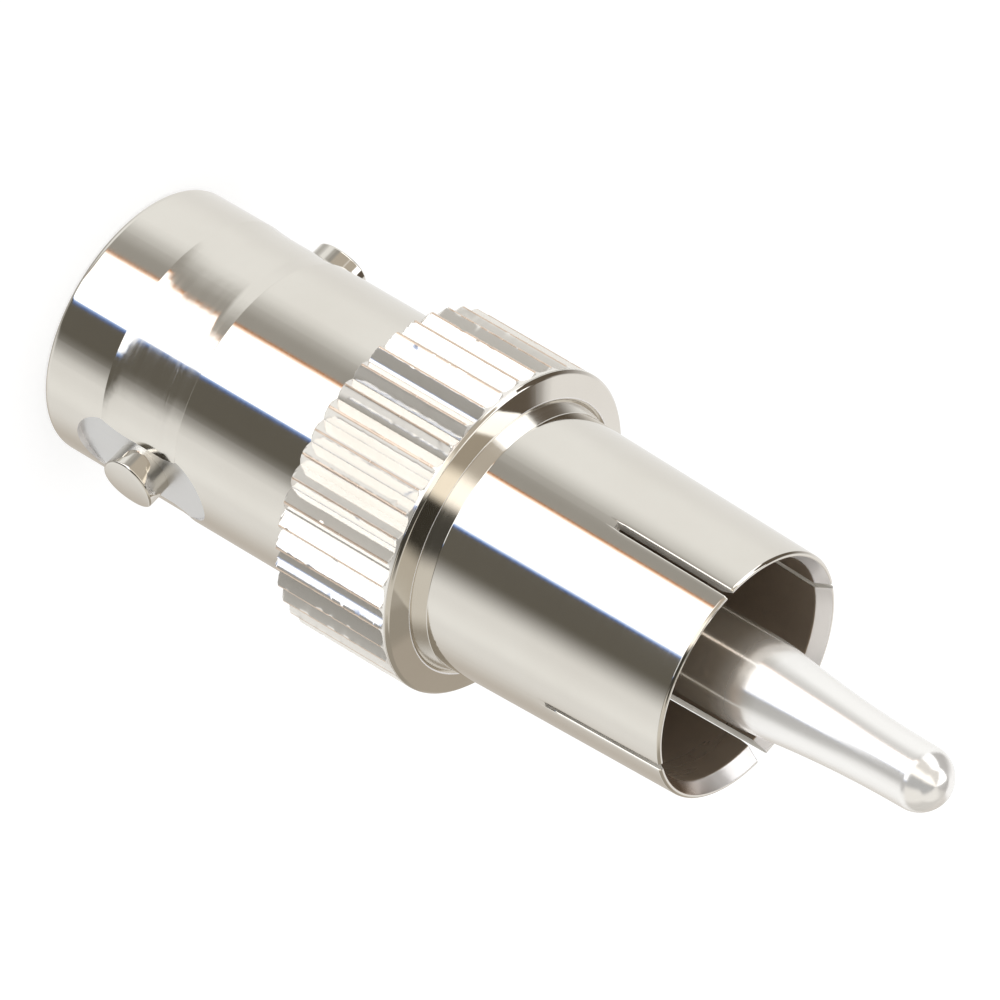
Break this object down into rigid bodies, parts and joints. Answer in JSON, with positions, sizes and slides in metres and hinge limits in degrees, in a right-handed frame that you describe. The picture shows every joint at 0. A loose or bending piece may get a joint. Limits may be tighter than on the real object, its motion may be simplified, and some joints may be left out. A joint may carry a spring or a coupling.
{
  "type": "coax adapter",
  "caption": "Straight coaxial adapter: a bayonet jack with round lugs at one end, a ridged grip collar, and a phono plug with a slotted ground sleeve and a tapering pin at the other.",
  "frame": {"origin": "centre of the jack's mouth rim, the plane the adapter stands on", "axes": "+Z along the one axis of both ends, from the jack's mouth to the tip of the pin; the two lugs stand out along +X and -X"},
  "size_m": [0.0116, 0.0116, 0.0342],
  "materials": {
    "nickel_shell": "bright nickel plate on turned brass",
    "nickel_sleeve": "bright nickel plate on turned brass",
    "nickel_pin": "bright nickel plate, smooth",
    "white_insulator": "smooth waxy plastic",
    "gold_contact": "thin gold plate",
    "dark_bead": "dark brown moulded resin"
  },
  "bodies": {
    "root": {"jack_shell": "nickel_shell", "phono_sleeve": "nickel_sleeve", "centre_pin": "nickel_pin", "jack_insulator": "white_insulator", "socket_contact": "gold_contact", "plug_insulator": "dark_bead"}
  },
  "joints": []
}
